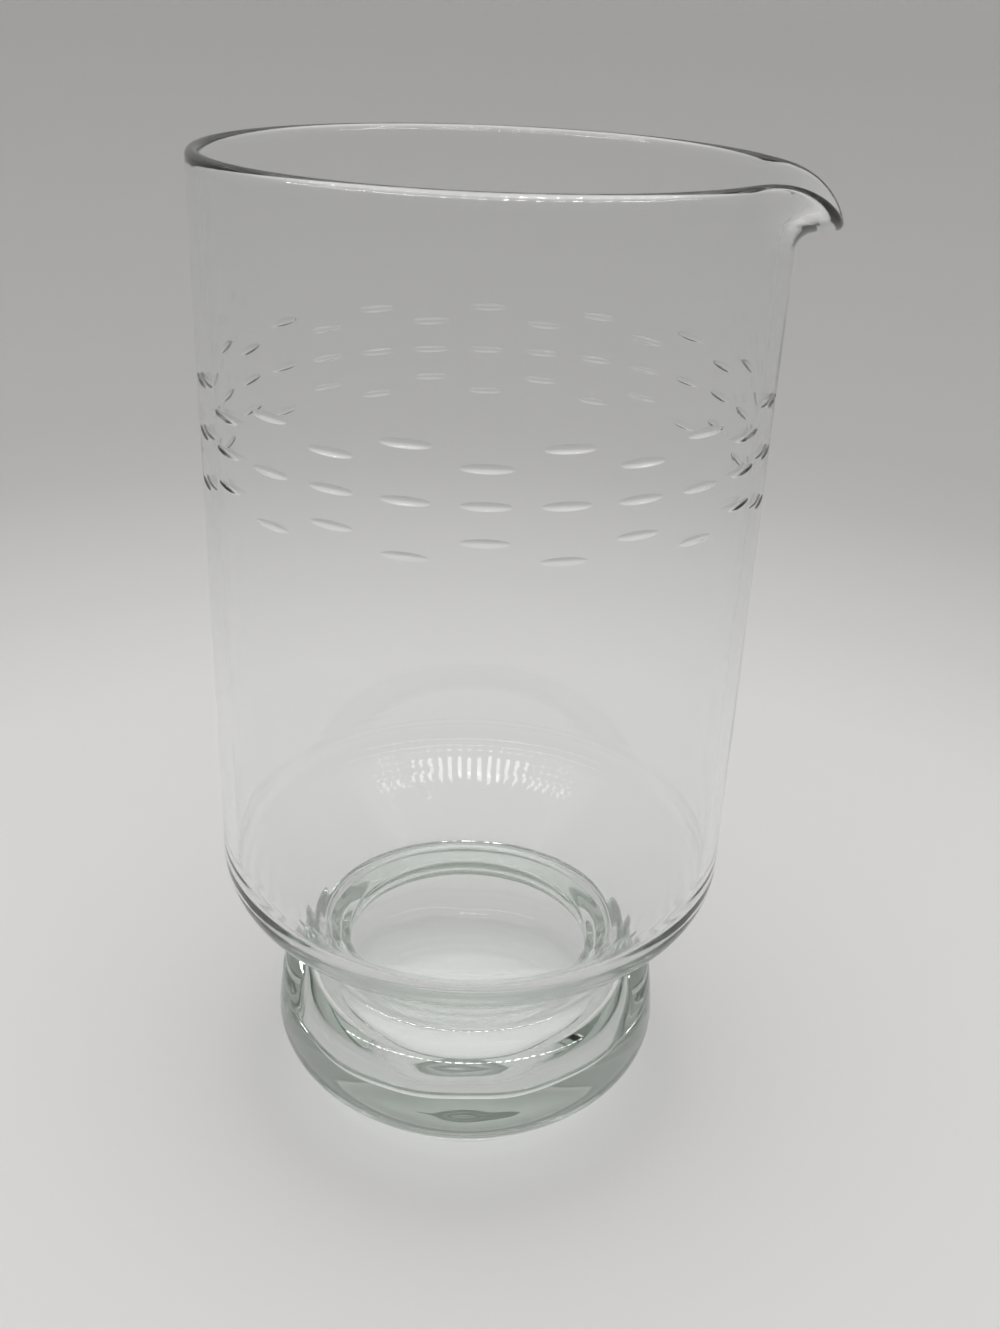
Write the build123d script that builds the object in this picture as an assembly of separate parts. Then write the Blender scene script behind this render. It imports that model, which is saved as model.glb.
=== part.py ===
"""Footed cocktail pitcher of clear blown glass.

A straight bowl with a fire-polished rim and a drawn pouring lip stands on a hollow bulb foot
with a thick base. The glass is one melt: the solids are its zones, which meet face to face on
level seams, and the lip meets the rim on two upright ones. The axis is Z, the origin is the
middle of the resting ring, and the lip points to +X. Lengths are millimetres, angles degrees.
"""
from build123d import *
import os
from math import acos, cos, degrees, pi, radians, sin

# Bowl: corner sizes are those of the profile before it is rounded
overall_height = 190.0
rim_radius = 50.5
bowl_taper = 0.4
wall_thickness = 2.4
heel_rise = 20.2
heel_round = 12.0
heel_thickness = 3.2

# Waist between the bowl and the foot
waist_radius = 28.5
waist_rise = 4.0
waist_round = 3.0
neck_radius = 24.9
neck_round = 3.0
neck_edge_round = 1.5

# Foot bulb, its hollow and the thick base under it
belly_radius = 40.7
belly_height = 13.4
belly_round = 10.5
foot_taper = 1.7
shoulder_rise = 15.6
shoulder_round = 7.0
foot_wall_thickness = 6.6
shoulder_thickness = 4.2
cavity_round = 2.8
base_thickness = 14.6
floor_round = 8.2

# Resting ring and the dished underside
ring_radius = 28.4
ring_edge_round = 2.5
dish_radius = 19.0
dish_depth = 1.4

# Pouring lip: over this arc of the rim the top of the wall folds outwards
lip_half_angle = 30.0
lip_fold_angle = 85.0
lip_fold_depth = 12.0
lip_fold_length = 6.2
lip_tongue = 3.4
lip_sharpness = 3
lip_section_count = 17
lip_fold_steps = 6

# Wheel-cut ovals in upright threes round the bowl, close and wide by turns
cut_pair_count = 13
cut_first_angle = 4.6
cut_row_depth = 44.2
cut_close_step = 5.8
cut_wide_step = 8.8
cut_depth = 0.27
cut_wheel_radius = 68.0
cut_wheel_edge = 1.2

# Seams between the zones
rim_band_depth = 24.0
heel_seam_rise = 10.0
waist_seam_rise = 6.0

shoulder_radius = belly_radius - foot_taper
shoulder_height = belly_height + shoulder_rise
waist_height = shoulder_height + waist_rise
heel_radius = rim_radius - bowl_taper
heel_height = waist_height + heel_rise
rim_seam = overall_height - rim_band_depth
heel_seam = heel_height + heel_seam_rise
waist_seam = waist_height + waist_seam_rise
foot_seam = waist_height - waist_round
base_seam = base_thickness + floor_round


def inset_line(start, end, depth):
    """Start and direction of the line that lies a depth inside the outer line between two points."""
    along = (Vector(*end) - Vector(*start)).normalized()
    return Vector(*start) + Vector(-along.Y, along.X) * depth, along


def crossing(first, second):
    """Point where two lines, each a start and a direction, cross."""
    gap = second[0] - first[0]
    share = gap.cross(second[1]).Z / first[1].cross(second[1]).Z
    point = first[0] + first[1] * share
    return (point.X, point.Y)


def body_profile():
    """Half section of the glass from the resting ring up to the rim band, as radius and height."""
    ring = (ring_radius, 0.0)
    belly = (belly_radius, belly_height)
    shoulder = (shoulder_radius, shoulder_height)
    waist = (waist_radius, waist_height)
    heel = (heel_radius, heel_height)
    top = (rim_radius, rim_seam)

    floor_line = (Vector(0.0, base_thickness), Vector(1.0, 0.0))
    belly_line = inset_line(belly, shoulder, foot_wall_thickness)
    shoulder_line = inset_line(shoulder, waist, shoulder_thickness)
    neck_line = (Vector(neck_radius, waist_height), Vector(0.0, 1.0))
    heel_line = inset_line(waist, heel, heel_thickness)
    wall_line = inset_line(heel, top, wall_thickness)

    floor_middle = (0.0, base_thickness)
    inner_top = (rim_radius - wall_thickness, rim_seam)
    inner_corners = [
        crossing(floor_line, belly_line),
        crossing(belly_line, shoulder_line),
        crossing(shoulder_line, neck_line),
        crossing(neck_line, heel_line),
        crossing(heel_line, wall_line),
    ]
    inner_rounds = [floor_round, cavity_round, neck_round, neck_edge_round, heel_round - wall_thickness]
    outer_rounds = [ring_edge_round, belly_round, shoulder_round, waist_round, heel_round]

    dish_middle = (0.0, dish_depth)
    dish_edge = (dish_radius, 0.0)
    lines = [
        TangentArc(dish_middle, dish_edge, tangent=(1.0, 0.0)),
        FilletPolyline(dish_edge, ring, belly, shoulder, waist, heel, top, radius=outer_rounds),
        Line(top, inner_top),
        FilletPolyline(floor_middle, *inner_corners, inner_top, radius=inner_rounds),
        Line(floor_middle, dish_middle),
    ]
    return make_face(lines)


def body_zone(profile, low, high):
    """Full turn of the part of the body's profile that lies between two heights."""
    band = Pos(0.0, (low + high) / 2) * Rectangle(4 * rim_radius, high - low)
    return revolve(Plane.XZ * (profile & band), Axis.Z)


def fold_side(bend, offset):
    """Points up one side of the wall where it folds outwards, offset from its middle line."""
    step = lip_fold_length / lip_fold_steps
    radius = rim_radius - wall_thickness / 2
    height = overall_height - lip_fold_depth
    points = [(radius + offset, height)]
    for index in range(lip_fold_steps):
        middle = bend * (index + 0.5) / lip_fold_steps
        radius += step * sin(middle)
        height += step * cos(middle)
        heading = bend * (index + 1) / lip_fold_steps
        points.append((radius + offset * cos(heading), height - offset * sin(heading)))
    return points


def rim_section(bend):
    """Half section of the rim band, its top folded outwards by an angle in radians."""
    half_wall = wall_thickness / 2
    straight_tongue = lip_fold_depth - lip_fold_length - half_wall
    bend_share = bend / radians(lip_fold_angle)
    tongue = straight_tongue + (lip_tongue - straight_tongue) * bend_share
    heading = Vector(sin(bend), cos(bend))
    outer = fold_side(bend, half_wall)
    inner = fold_side(bend, -half_wall)
    outer_end = Vector(*outer[-1]) + heading * tongue
    inner_end = Vector(*inner[-1]) + heading * tongue
    edge = (outer_end + inner_end) / 2 + heading * half_wall
    outer_foot = (rim_radius, rim_seam)
    inner_foot = (rim_radius - wall_thickness, rim_seam)
    upright = (0.0, 1.0)
    lines = [
        Line(inner_foot, outer_foot),
        Line(outer_foot, outer[0]),
        Spline(*outer, tangents=[upright, heading]),
        Line(outer[-1], outer_end),
        ThreePointArc(outer_end, edge, inner_end),
        Line(inner_end, inner[-1]),
        Spline(*inner, tangents=[upright, heading]),
        Line(inner[0], inner_foot),
    ]
    return Plane.XZ * make_face(lines)


def rim_band():
    """Plain fire-polished rim, everywhere but at the lip."""
    start = rim_section(0.0).rotate(Axis.Z, lip_half_angle)
    return revolve(start, Axis.Z, 360.0 - 2 * lip_half_angle)


def pouring_lip():
    """Rim drawn outwards and down into a lip, most in its middle and not at all at its ends."""
    sections = []
    for index in range(lip_section_count):
        angle = lip_half_angle * (2 * index / (lip_section_count - 1) - 1)
        share = cos(pi / 2 * angle / lip_half_angle) ** lip_sharpness
        section = rim_section(radians(lip_fold_angle) * share)
        sections.append(section.rotate(Axis.Z, angle))
    return loft(sections)


def wheel_cuts():
    """Stretches of the cutting wheel's edge, one at every oval."""
    taper = (rim_radius - heel_radius) / (rim_seam - heel_height)
    middle = overall_height - cut_row_depth
    column_angle = 180.0 / cut_pair_count
    hub_radius = cut_wheel_radius - cut_wheel_edge
    half_sweep = degrees(acos(1 - cut_depth / cut_wheel_radius))
    edge = Torus(hub_radius, cut_wheel_edge, major_angle=2 * half_sweep, align=None)
    wheel = Rot(0.0, 0.0, 180.0 - half_sweep) * edge
    cuts = []
    for column in range(2 * cut_pair_count):
        step = cut_wide_step if column % 2 else cut_close_step
        for height in (middle - step, middle, middle + step):
            surface = heel_radius + taper * (height - heel_height)
            reach = surface - cut_depth + cut_wheel_radius
            turn = Rot(0.0, 0.0, cut_first_angle + column * column_angle)
            cuts.append(turn * Pos(reach, 0.0, height) * wheel)
    return cuts


profile = body_profile()
nodes = {
    "base_slab": body_zone(profile, 0.0, base_seam),
    "foot_bulb": body_zone(profile, base_seam, foot_seam),
    "waist_ring": body_zone(profile, foot_seam, waist_seam),
    "bowl_heel": body_zone(profile, waist_seam, heel_seam),
    "bowl_wall": body_zone(profile, heel_seam, rim_seam) - wheel_cuts(),
    "rim_band": rim_band(),
    "pouring_lip": pouring_lip(),
}

os.makedirs("parts", exist_ok=True)
for name, shape in nodes.items():
    export_step(shape, f"parts/{name}.step")
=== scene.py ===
from math import acos, atan, ceil, cos, pi, radians, sin, sqrt, tan

import bpy
import numpy as np
from mathutils import Matrix, Vector


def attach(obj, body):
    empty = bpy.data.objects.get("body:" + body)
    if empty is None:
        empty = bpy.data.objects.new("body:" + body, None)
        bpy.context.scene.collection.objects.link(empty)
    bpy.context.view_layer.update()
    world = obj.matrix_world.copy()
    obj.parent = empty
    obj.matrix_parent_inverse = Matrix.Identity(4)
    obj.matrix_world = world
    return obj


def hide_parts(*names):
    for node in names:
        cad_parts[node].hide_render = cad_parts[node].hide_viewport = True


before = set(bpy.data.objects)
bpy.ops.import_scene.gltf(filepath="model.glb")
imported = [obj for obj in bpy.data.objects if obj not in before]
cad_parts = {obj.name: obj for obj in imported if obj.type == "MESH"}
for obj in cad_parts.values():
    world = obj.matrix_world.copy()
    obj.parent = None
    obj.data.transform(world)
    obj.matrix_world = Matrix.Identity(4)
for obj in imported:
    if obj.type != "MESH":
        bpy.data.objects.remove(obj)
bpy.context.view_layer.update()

# The glass in millimetres, with the sizes of the CAD part. The axis is Z and the lip points to +X.
# Corners are a radius and a height, before they are rounded.
overall_height = 190.0
rim_radius = 50.5
rim_seam = overall_height - 24.0
wall_thickness = 2.4
heel = (50.1, 53.2)
heel_round = 12.0
heel_thickness = 3.2
waist = (28.5, 33.0)
waist_round = 3.0
neck_radius = 24.9
neck_round = 3.0
neck_edge_round = 1.5
belly = (40.7, 13.4)
belly_round = 10.5
shoulder = (39.0, 29.0)
shoulder_round = 7.0
foot_wall_thickness = 6.6
shoulder_thickness = 4.2
cavity_round = 2.8
base_thickness = 14.6
floor_round = 8.2
ring = (28.4, 0.0)
ring_edge_round = 2.5
dish_radius = 19.0
dish_depth = 1.4

lip_half_angle = 30.0
lip_fold_angle = 85.0
lip_fold_depth = 12.0
lip_fold_length = 6.2
lip_tongue = 3.4
lip_sharpness = 3

cut_pair_count = 13
cut_first_angle = 4.6
cut_row_depth = 44.2
cut_close_step = 5.8
cut_wide_step = 8.8
cut_depth = 0.27
cut_wheel_radius = 68.0
cut_wheel_edge = 1.2

# Blowing rings in the hollow: how strong they are at which heights
ripple_length = 3.4
ripple_height = 0.09
ripple_heights = (33.0, 35.0, 41.0, 47.0, 50.0, 58.0, 64.0)
ripple_shares = (0.0, 0.6, 0.6, 0.2, 1.0, 1.0, 0.0)

# Waves of the hollow's floor: count round the axis, share of the height, and where each starts.
# They die away between two heights.
floor_wave = 0.6
floor_waves = ((2, 1.0, 1.92), (3, 0.6, 4.97), (5, 0.5, 3.05), (11, 0.3, 3.84))
floor_fade = (base_thickness + 1.0, waist[1] - 4.0)

# Fineness of the skin
plain_angles = np.radians(np.arange(0.0, 360.0, 2.0))
rim_angles = np.radians(np.arange(0.0, 360.0, 1.0))
path_spacing = 5.0
path_turn = radians(6.0)
fine_spacing = 0.68
fine_zone = (waist[1] - 2.0, heel[1] + heel_round)
dish_shares = (0.2, 0.4, 0.6, 0.8, 0.92)
inner_floor_radius = 6.0
fold_shares = np.linspace(0.0, 1.0, 13)
tongue_shares = (1.35, 1.7, 2.0)
edge_angles = np.linspace(0.0, pi, 11)[1:-1]
cut_point_count = 15
cut_gap_shares = np.array((0.25, 0.5, 0.75))
cut_line_shares = (-1.0, -0.75, -0.5, -0.25, 0.0, 0.25, 0.5, 0.75, 1.0)

# Room round the cuts: least half height of a row's lines, margin round a cut, and half a row's height
cut_least_half = 0.04
cut_margin = 0.05
cut_row_half = 0.95
cut_band_margin = 3.0

# A cut is fully matt from this depth on
ground_depth = 0.05
ground_roughness = 0.22

# Camera of the photograph: angles in radians, place in rim radii, and lengths in pixels
camera_pitch = 0.45
camera_roll = 0.0427
camera_yaw = 0.0177
camera_place = (0.0, -4.8951, 4.2628)
focal_pixels = 1410.57
frame_pixels = 1329.0
sensor_size = 36.0

# Turn of the camera and of the lamps about the axis
view_spin = radians(11.0)

# Backdrop in metres: a floor a hair under the glass, and painted shade on its paper, which is darkened by
# distance from the axis, up the cove and the wall, where less light falls
backdrop_level = -0.0002
backdrop_flat = 0.28
backdrop_cove = 0.2
backdrop_top = 0.6
backdrop_columns = 96
cove_steps = 16
paper_tint = (1.0, 0.993, 0.985)
# Painted shade: the paper's lightness at distances from the axis in metres, darker up the cove and wall
# where less light falls
painted_shade_stops = (
    (0.2, 0.81),
    (0.255, 0.765),
    (0.3, 0.715),
    (0.335, 0.645),
    (0.365, 0.57),
    (0.39, 0.535),
    (0.48, 0.49),
)
sky_shade = 0.82


def straight(start, end, spacing):
    """Points after the start of a straight line up to its end."""
    count = max(1, ceil(np.linalg.norm(end - start) / spacing))
    return [start + (end - start) * (index + 1) / count for index in range(count)]


def rounded_path(corners, rounds):
    """Points along a line whose corners are rounded."""
    corners = [np.array(corner, float) for corner in corners]
    points = [corners[0]]
    for before, corner, after, radius in zip(corners, corners[1:], corners[2:], rounds):
        back = (before - corner) / np.linalg.norm(before - corner)
        ahead = (after - corner) / np.linalg.norm(after - corner)
        half = acos(back @ ahead) / 2
        bisector = (back + ahead) / np.linalg.norm(back + ahead)
        centre = corner + bisector * radius / sin(half)
        start = corner + back * radius / tan(half)
        points += straight(points[-1], start, path_spacing)
        sweep = pi - 2 * half
        side = np.sign(back[0] * ahead[1] - back[1] * ahead[0])
        count = ceil(sweep / path_turn)
        arm = start - centre
        for index in range(count):
            angle = -side * sweep * (index + 1) / count
            across = cos(angle) * arm[0] - sin(angle) * arm[1]
            up = sin(angle) * arm[0] + cos(angle) * arm[1]
            points.append(centre + np.array((across, up)))
    points += straight(points[-1], corners[-1], path_spacing)
    return points


def inset_line(start, end, depth):
    """Start and direction of the line that lies a depth inside the outer line between two points."""
    along = np.subtract(end, start) / np.linalg.norm(np.subtract(end, start))
    return np.add(start, depth * np.array((-along[1], along[0]))), along


def crossing(first, second):
    """Point where two lines, each a start and a direction, cross."""
    share = np.linalg.solve(np.column_stack((first[1], -second[1])), second[0] - first[0])[0]
    return first[0] + first[1] * share


def inner_corners():
    """Corners of the hollow from its floor up to the bowl's heel."""
    floor_line = (np.array((0.0, base_thickness)), np.array((1.0, 0.0)))
    belly_line = inset_line(belly, shoulder, foot_wall_thickness)
    shoulder_line = inset_line(shoulder, waist, shoulder_thickness)
    neck_line = (np.array((neck_radius, 0.0)), np.array((0.0, 1.0)))
    heel_line = inset_line(waist, heel, heel_thickness)
    wall_line = inset_line(heel, (rim_radius, rim_seam), wall_thickness)
    lines = [floor_line, belly_line, shoulder_line, neck_line, heel_line, wall_line]
    return [crossing(first, second) for first, second in zip(lines, lines[1:])]


def wall_radius(height):
    """Outer radius of the bowl's straight wall."""
    return heel[0] + (rim_radius - heel[0]) * (height - heel[1]) / (rim_seam - heel[1])


def turned(radius, height, angles):
    """Ring of points about the axis."""
    radius = np.broadcast_to(radius, angles.shape)
    height = np.broadcast_to(height, angles.shape)
    return np.column_stack((radius * np.cos(angles), radius * np.sin(angles), height))


def lip_ring(side, share, edge_angle=None):
    """Ring of the rim, its top folded outwards at the lip.

    The side is 1 on the outer face and -1 on the inner one. The share runs from 0 where the fold
    starts to 1 where it ends and 2 at the end of the tongue. An edge angle from 0 to pi goes over
    the rounded edge from the outer face to the inner one.
    """
    half_wall = wall_thickness / 2
    away = np.degrees((rim_angles + pi) % (2 * pi) - pi)
    bend_share = np.cos(pi / 2 * np.clip(away / lip_half_angle, -1.0, 1.0)) ** lip_sharpness
    bend = np.maximum(radians(lip_fold_angle) * bend_share, 1e-6)
    heading = bend * min(share, 1.0)
    arm = lip_fold_length / bend
    radius = rim_radius - half_wall + arm * (1 - np.cos(heading))
    height = overall_height - lip_fold_depth + arm * np.sin(heading)
    straight_tongue = lip_fold_depth - lip_fold_length - half_wall
    tongue = straight_tongue + (lip_tongue - straight_tongue) * bend_share
    reach = tongue * max(share - 1.0, 0.0)
    offset = half_wall * side
    if edge_angle is not None:
        reach = tongue + half_wall * sin(edge_angle)
        offset = half_wall * cos(edge_angle)
    radius = radius + reach * np.sin(heading) + offset * np.cos(heading)
    height = height + reach * np.cos(heading) - offset * np.sin(heading)
    return turned(radius, height, rim_angles)


def rim_rings():
    """Rings of the rim and the lip, up the outer face, over the edge and down the inner face."""
    rings = [lip_ring(1, share) for share in (*fold_shares, *tongue_shares)]
    rings += [lip_ring(1, tongue_shares[-1], edge_angle) for edge_angle in edge_angles]
    rings += [lip_ring(-1, share) for share in (*tongue_shares[::-1], *fold_shares[::-1])]
    return [(rim_angles, points) for points in rings]


def cut_columns():
    """Middle angle of each upright column of cuts, and the step between its rows."""
    columns = []
    for column in range(2 * cut_pair_count):
        angle = radians(cut_first_angle + column * 180.0 / cut_pair_count)
        columns.append((angle, cut_wide_step if column % 2 else cut_close_step))
    return columns


def cut_reach():
    """Distance of the wheel's middle from the axis, and half the angle that a cut spans."""
    surface = wall_radius(overall_height - cut_row_depth)
    reach = surface - cut_depth + cut_wheel_radius
    span = (reach**2 + surface**2 - cut_wheel_radius**2) / (2 * reach * surface)
    return reach, acos(span)


def cut_rings():
    """Rings of the band of cuts: their lines follow each cut's outline and bend into its hollow."""
    reach, half_span = cut_reach()
    middle = overall_height - cut_row_depth
    columns = cut_columns()
    spread = np.sin(np.linspace(-pi / 2, pi / 2, cut_point_count)) * half_span
    gap = 2 * pi / len(columns) - 2 * half_span
    offsets = np.concatenate((spread, half_span + gap * cut_gap_shares))
    angles = np.concatenate([angle + offsets for angle, step in columns])
    steps = np.concatenate([np.full(len(offsets), step) for angle, step in columns])
    away = np.tile(offsets, len(columns))
    hub = cut_wheel_radius - cut_wheel_edge
    first = int(np.argmin(angles % (2 * pi)))

    rings = []
    for rise in (-cut_wide_step, -cut_close_step, 0.0, cut_close_step, cut_wide_step):
        surface = wall_radius(middle + rise)
        distance = np.sqrt(reach**2 + surface**2 - 2 * reach * surface * np.cos(away))
        inside = (np.abs(away) < half_span) & ((rise == 0.0) | (steps == abs(rise)))
        half_height = np.sqrt(np.maximum(cut_wheel_edge**2 - (distance - hub) ** 2, 0.0))
        half_height = np.where(inside, np.maximum(half_height, cut_least_half), cut_least_half)
        border = np.full(len(away), cut_row_half)
        beside = half_height + cut_margin
        lines = [(half_height * share, abs(share) < 1.0) for share in cut_line_shares]
        lines = [(-border, False), (-beside, False), *lines, (beside, False), (border, False)]
        for lift, hollowed in lines:
            radius = wall_radius(middle + rise + lift)
            depth = hub + np.sqrt(np.maximum(cut_wheel_edge**2 - lift**2, 0.0))
            near = reach * np.cos(away) - np.sqrt(np.maximum(depth**2 - (reach * np.sin(away)) ** 2, 0.0))
            radius = np.where(inside & hollowed, np.minimum(near, radius), radius)
            points = turned(radius, middle + rise + lift, angles)
            rings.append((np.roll(angles % (2 * pi), -first), np.roll(points, -first, axis=0)))
    return rings


def floor_unevenness(radius, height):
    """Rise of the hollow's floor round the axis, none in its middle, which dies away up to the neck."""
    wave = sum(share * np.sin(count * plain_angles + start) for count, share, start in floor_waves)
    fade = np.interp(height, floor_fade, (1.0, 0.0))
    return floor_wave * min(radius / neck_radius, 1.0) ** 2 * fade * wave


def hollow_rings(path):
    """Rings of the hollow from its floor up, with blowing rings in the neck and the bowl's heel.

    The blowing rings are strongest at the sides of the photograph's view and die away between them.
    """
    close = [path[0]]
    for point in path[1:]:
        low, high = sorted((close[-1][1], point[1]))
        fine = high > fine_zone[0] and low < fine_zone[1]
        close += straight(close[-1], point, fine_spacing if fine else path_spacing)
    close = np.array(close)
    along = np.gradient(close, axis=0)
    along /= np.linalg.norm(along, axis=1)[:, None]
    travel = np.concatenate(((0.0,), np.cumsum(np.linalg.norm(np.diff(close, axis=0), axis=1))))
    share = np.interp(close[:, 1], ripple_heights, ripple_shares)
    swing = ripple_height * share * np.sin(2 * pi * travel / ripple_length)
    uneven = np.cos(plain_angles - view_spin) ** 2
    rings = []
    for (radius, height), (run, rise), swell in zip(close, along, swing):
        wave = swell * uneven
        height = height + floor_unevenness(radius, height)
        rings.append((plain_angles, turned(radius - wave * rise, height + wave * run, plain_angles)))
    return rings


def glass_rings():
    """All rings of the glass, from the middle of the underside over the rim to the middle of the floor."""
    band_low = overall_height - cut_row_depth - cut_wide_step - cut_band_margin
    band_high = overall_height - cut_row_depth + cut_wide_step + cut_band_margin
    dish_bow = (dish_radius**2 + dish_depth**2) / (2 * dish_depth)
    outer = []
    for share in dish_shares:
        radius = dish_radius * share
        outer.append((radius, dish_depth - dish_bow + sqrt(dish_bow**2 - radius**2)))
    low_wall = (wall_radius(band_low), band_low)
    rounds = [ring_edge_round, belly_round, shoulder_round, waist_round, heel_round]
    outer += rounded_path([(dish_radius, 0.0), ring, belly, shoulder, waist, heel, low_wall], rounds)
    rings = [(plain_angles, turned(radius, height, plain_angles)) for radius, height in outer]
    rings += cut_rings()
    for height in (band_high, rim_seam):
        rings.append((plain_angles, turned(wall_radius(height), height, plain_angles)))
    rings += rim_rings()

    rounds = [floor_round, cavity_round, neck_round, neck_edge_round, heel_round - wall_thickness]
    inner_top = (rim_radius - wall_thickness, rim_seam)
    inner = rounded_path([(inner_floor_radius, base_thickness), *inner_corners(), inner_top], rounds)
    return rings + hollow_rings(inner)[::-1]


def angle_ahead(angles, index):
    """Angle of the next point of a ring, a full turn on where the ring starts again."""
    return angles[(index + 1) % len(angles)] + 2 * pi * ((index + 1) // len(angles))


def band_faces(first, second, first_angles, second_angles):
    """Faces between two rings of vertex numbers, which may differ in count."""
    if len(first) == len(second):
        return list(zip(first, first[1:] + first[:1], second[1:] + second[:1], second))
    faces = []
    on_first = 0
    on_second = 0
    while on_first < len(first) or on_second < len(second):
        here = first[on_first % len(first)]
        beside = second[on_second % len(second)]
        sooner = angle_ahead(first_angles, on_first) <= angle_ahead(second_angles, on_second)
        if on_second == len(second) or (on_first < len(first) and sooner):
            faces.append((here, first[(on_first + 1) % len(first)], beside))
            on_first += 1
        else:
            faces.append((here, second[(on_second + 1) % len(second)], beside))
            on_second += 1
    return faces


def ground_share(points):
    """1 where the cutting wheel has left the surface matt, 0 on the smooth glass."""
    depth = wall_radius(points[:, 2]) - np.hypot(points[:, 0], points[:, 1])
    away = np.abs(points[:, 2] - overall_height + cut_row_depth)
    bitten = (away < cut_wide_step + cut_band_margin) & (depth < wall_thickness / 2)
    return np.where(bitten, np.clip(depth / ground_depth, 0.0, 1.0), 0.0)


def glass_mesh():
    """One closed skin of glass."""
    points = [np.array([(0.0, 0.0, dish_depth)])]
    faces = []
    start = 1
    before = None
    for angles, ring_points in glass_rings():
        numbers = list(range(start, start + len(angles)))
        if before is None:
            faces += [(0, after, here) for here, after in zip(numbers, numbers[1:] + numbers[:1])]
        else:
            faces += band_faces(before[0], numbers, before[1], angles)
        points.append(ring_points)
        before = (numbers, angles)
        start += len(angles)
    last = before[0]
    faces += [(here, after, start) for here, after in zip(last, last[1:] + last[:1])]
    points.append(np.array([(0.0, 0.0, base_thickness)]))
    points = np.concatenate(points)
    mesh = bpy.data.meshes.new("pitcher_glass")
    mesh.from_pydata((points / 1000.0).tolist(), [], faces)
    mesh.validate()
    mesh.polygons.foreach_set("use_smooth", [True] * len(mesh.polygons))
    ground = mesh.attributes.new("ground", "FLOAT", "POINT")
    ground.data.foreach_set("value", ground_share(points))
    return mesh


def glass_material():
    """Clear soda-lime glass with faint striae, matt where it is cut. Shadow rays go straight through."""
    material = bpy.data.materials.new("clear_glass")
    material.use_nodes = True
    nodes = material.node_tree.nodes
    links = material.node_tree.links
    nodes.clear()
    output = nodes.new("ShaderNodeOutputMaterial")
    glass = nodes.new("ShaderNodeBsdfPrincipled")
    glass.inputs["Base Color"].default_value = (1.0, 1.0, 1.0, 1.0)
    glass.inputs["Transmission Weight"].default_value = 1.0
    glass.inputs["IOR"].default_value = 1.5
    absorb = nodes.new("ShaderNodeVolumeAbsorption")
    absorb.inputs["Color"].default_value = (0.665, 0.715, 0.675, 1.0)
    absorb.inputs["Density"].default_value = 20.0
    links.new(absorb.outputs["Volume"], output.inputs["Volume"])

    ground = nodes.new("ShaderNodeAttribute")
    ground.attribute_name = "ground"
    matt = nodes.new("ShaderNodeMapRange")
    matt.inputs["To Max"].default_value = ground_roughness
    links.new(ground.outputs["Fac"], matt.inputs["Value"])
    links.new(matt.outputs["Result"], glass.inputs["Roughness"])

    coords = nodes.new("ShaderNodeTexCoord")
    stretch = nodes.new("ShaderNodeMapping")
    stretch.inputs["Scale"].default_value = (60.0, 60.0, 18.0)
    striae = nodes.new("ShaderNodeTexNoise")
    striae.inputs["Scale"].default_value = 1.0
    striae.inputs["Detail"].default_value = 2.0
    bump = nodes.new("ShaderNodeBump")
    bump.inputs["Strength"].default_value = 0.3
    bump.inputs["Distance"].default_value = 0.0002
    links.new(coords.outputs["Object"], stretch.inputs["Vector"])
    links.new(stretch.outputs["Vector"], striae.inputs["Vector"])
    links.new(striae.outputs["Fac"], bump.inputs["Height"])
    links.new(bump.outputs["Normal"], glass.inputs["Normal"])

    clear = nodes.new("ShaderNodeBsdfTransparent")
    clear.inputs["Color"].default_value = (0.995, 0.995, 0.995, 1.0)
    path = nodes.new("ShaderNodeLightPath")
    mix = nodes.new("ShaderNodeMixShader")
    links.new(path.outputs["Is Shadow Ray"], mix.inputs["Fac"])
    links.new(glass.outputs["BSDF"], mix.inputs[1])
    links.new(clear.outputs["BSDF"], mix.inputs[2])
    links.new(mix.outputs["Shader"], output.inputs["Surface"])
    return material


def add_pitcher():
    """The glass pitcher, which stands for every CAD zone."""
    mesh = glass_mesh()
    mesh.materials.append(glass_material())
    pitcher = bpy.data.objects.new("pitcher_glass", mesh)
    bpy.context.scene.collection.objects.link(pitcher)
    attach(pitcher, "root")
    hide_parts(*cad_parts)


def floor_material():
    """Matt backdrop paper with painted shade: palest under the pitcher and painted greyer up the wall,
    where less light falls.
    """
    material = bpy.data.materials.new("paper_painted_shade")
    material.use_nodes = True
    nodes = material.node_tree.nodes
    links = material.node_tree.links
    paper = nodes["Principled BSDF"]
    paper.inputs["Roughness"].default_value = 0.75
    paper.inputs["Specular IOR Level"].default_value = 0.2
    coords = nodes.new("ShaderNodeTexCoord")
    level = nodes.new("ShaderNodeVectorMath")
    level.operation = "MULTIPLY"
    level.inputs[1].default_value = (1.0, 1.0, 0.0)
    distance = nodes.new("ShaderNodeVectorMath")
    distance.operation = "LENGTH"
    ramp = nodes.new("ShaderNodeValToRGB")
    stops = ramp.color_ramp.elements
    stops.remove(stops[1])
    # Painted shade: the paper's colour is darkened with distance from the axis, up the cove and wall
    for index, (place, shade) in enumerate(painted_shade_stops):
        stop = stops[0] if index == 0 else stops.new(place)
        stop.position = place
        stop.color = (*(part * shade for part in paper_tint), 1.0)
    links.new(coords.outputs["Object"], level.inputs[0])
    links.new(level.outputs["Vector"], distance.inputs[0])
    links.new(distance.outputs["Value"], ramp.inputs["Fac"])
    links.new(ramp.outputs["Color"], paper.inputs["Base Color"])
    return material


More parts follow.
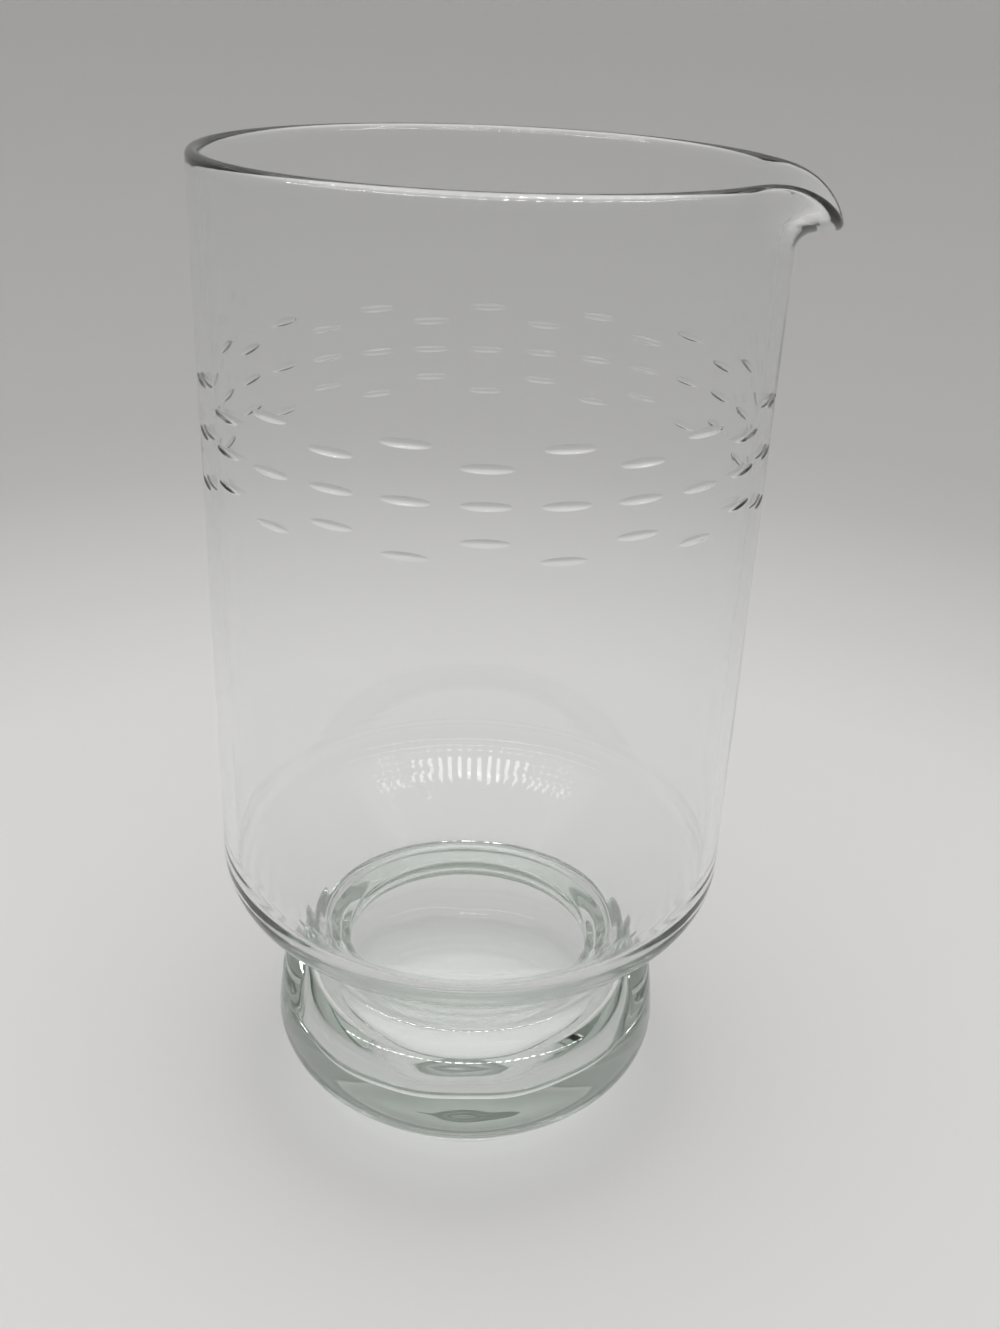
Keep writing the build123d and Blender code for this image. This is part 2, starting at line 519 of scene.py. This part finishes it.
def add_floor():
    """Round pale floor, a hair under the glass, that curves up into a wall all round."""
    profile = [(radius, backdrop_level) for radius in (0.1, 0.2, backdrop_flat)]
    for index in range(1, cove_steps + 1):
        angle = pi / 2 * index / cove_steps
        radius = backdrop_flat + backdrop_cove * sin(angle)
        profile.append((radius, backdrop_level + backdrop_cove * (1 - cos(angle))))
    profile.append((backdrop_flat + backdrop_cove, backdrop_top))
    points = [(0.0, 0.0, backdrop_level)]
    faces = []
    for row, (radius, height) in enumerate(profile):
        for column in range(backdrop_columns):
            angle = 2 * pi * column / backdrop_columns
            points.append((radius * cos(angle), radius * sin(angle), height))
            here = 1 + row * backdrop_columns + column
            beside = 1 + row * backdrop_columns + (column + 1) % backdrop_columns
            if row == 0:
                faces.append((0, here, beside))
            else:
                faces.append((here - backdrop_columns, here, beside, beside - backdrop_columns))
    mesh = bpy.data.meshes.new("floor")
    mesh.from_pydata(points, [], faces)
    mesh.polygons.foreach_set("use_smooth", [True] * len(mesh.polygons))
    mesh.materials.append(floor_material())
    floor = bpy.data.objects.new("floor", mesh)
    bpy.context.scene.collection.objects.link(floor)


def add_lamp(name, light, place, aim):
    """A lamp that looks at a point. It isn't seen through the glass nor mirrored in it."""
    lamp = bpy.data.objects.new(name, light)
    lamp.location = place
    lamp.rotation_euler = (Vector(aim) - Vector(place)).to_track_quat("-Z", "Y").to_euler()
    lamp.visible_glossy = False
    lamp.visible_transmission = False
    bpy.context.scene.collection.objects.link(lamp)
    return lamp


def area_light(name, width, depth, power):
    """A soft rectangular light."""
    light = bpy.data.lights.new(name, "AREA")
    light.shape = "RECTANGLE"
    light.size = width
    light.size_y = depth
    light.energy = power
    return light


def add_softbox():
    """Soft light overhead, a little in front of the pitcher."""
    light = area_light("softbox", width=0.5, depth=0.5, power=2.5)
    add_lamp("softbox", light, place=(0.0, -0.15, 0.8), aim=(0.0, 0.0, 0.0))


def add_gathered_light():
    """Narrow beam for the light that the thick base gathers on the floor right under it."""
    beam_height = 1.2
    beam_radius = 0.0405
    light = bpy.data.lights.new("gathered_light", "SPOT")
    light.energy = 45.0
    light.spot_size = 2 * atan(beam_radius / beam_height)
    light.spot_blend = 0.7
    light.shadow_soft_size = 0.01
    add_lamp("gathered_light", light, place=(0.0, 0.0, beam_height), aim=(0.0, 0.0, 0.0))


def add_lamp_row(name, count, centre, radius, half_angle, height, size, power):
    """Level arc of small lamps in front of the pitcher, which only glint in the glass.

    The arc's centre lies behind the pitcher, and the half angle is in degrees.
    """
    light = area_light(name, size[0], size[1], power)
    for index in range(count):
        angle = radians(half_angle) * (2 * index / (count - 1) - 1) + view_spin
        across = radius * sin(angle) - centre * sin(view_spin)
        deep = centre * cos(view_spin) - radius * cos(angle)
        lamp = add_lamp(f"{name}_{index}", light, place=(across, deep, height), aim=(0.0, 0.0, 0.06))
        lamp.visible_glossy = True
        lamp.visible_transmission = True
        lamp.visible_diffuse = False


def add_camera():
    """Camera of the photograph."""
    ahead = Vector((
        sin(camera_yaw) * cos(camera_pitch),
        cos(camera_yaw) * cos(camera_pitch),
        -sin(camera_pitch),
    ))
    right = ahead.cross(Vector((0.0, 0.0, 1.0))).normalized()
    above = right.cross(ahead)
    rolled_right = right * cos(camera_roll) + above * sin(camera_roll)
    rolled_above = above * cos(camera_roll) - right * sin(camera_roll)
    turn = Matrix.Rotation(view_spin, 4, "Z")
    axes = Matrix((rolled_right, rolled_above, -ahead)).transposed().to_4x4()
    place = Matrix.Translation(Vector(camera_place) * rim_radius / 1000.0)
    camera = bpy.data.cameras.new("camera")
    camera.sensor_width = sensor_size
    camera.sensor_fit = "AUTO"
    camera.lens = focal_pixels / frame_pixels * sensor_size
    camera.clip_start = 0.01
    viewer = bpy.data.objects.new("camera", camera)
    viewer.matrix_world = turn @ place @ axes
    bpy.context.scene.collection.objects.link(viewer)
    bpy.context.scene.camera = viewer


def set_world():
    """Even room light."""
    world = bpy.data.worlds.new("room")
    world.use_nodes = True
    background = world.node_tree.nodes["Background"]
    background.inputs["Color"].default_value = (sky_shade, sky_shade, sky_shade, 1.0)
    background.inputs["Strength"].default_value = 1.0
    bpy.context.scene.world = world


def set_light_paths():
    """Enough bounces for glass in glass. Caustics are off, because the gathered light stands for them."""
    scene = bpy.context.scene
    scene.view_settings.view_transform = "Standard"
    scene.cycles.use_denoising = True
    scene.cycles.caustics_reflective = False
    scene.cycles.caustics_refractive = False
    scene.cycles.max_bounces = 48
    scene.cycles.transmission_bounces = 48
    scene.cycles.glossy_bounces = 24
    scene.cycles.transparent_max_bounces = 64
    scene.cycles.sample_clamp_indirect = 6.0


add_pitcher()
add_floor()
add_softbox()
add_gathered_light()
add_lamp_row(
    "high_lamp",
    count=24,
    centre=0.225,
    radius=0.38,
    half_angle=46.0,
    height=0.45,
    size=(0.010, 0.011),
    power=0.06,
)
add_lamp_row(
    "low_lamp",
    count=30,
    centre=0.33,
    radius=0.6,
    half_angle=42.0,
    height=0.30,
    size=(0.02, 0.014),
    power=0.03,
)
add_camera()
set_world()
set_light_paths()
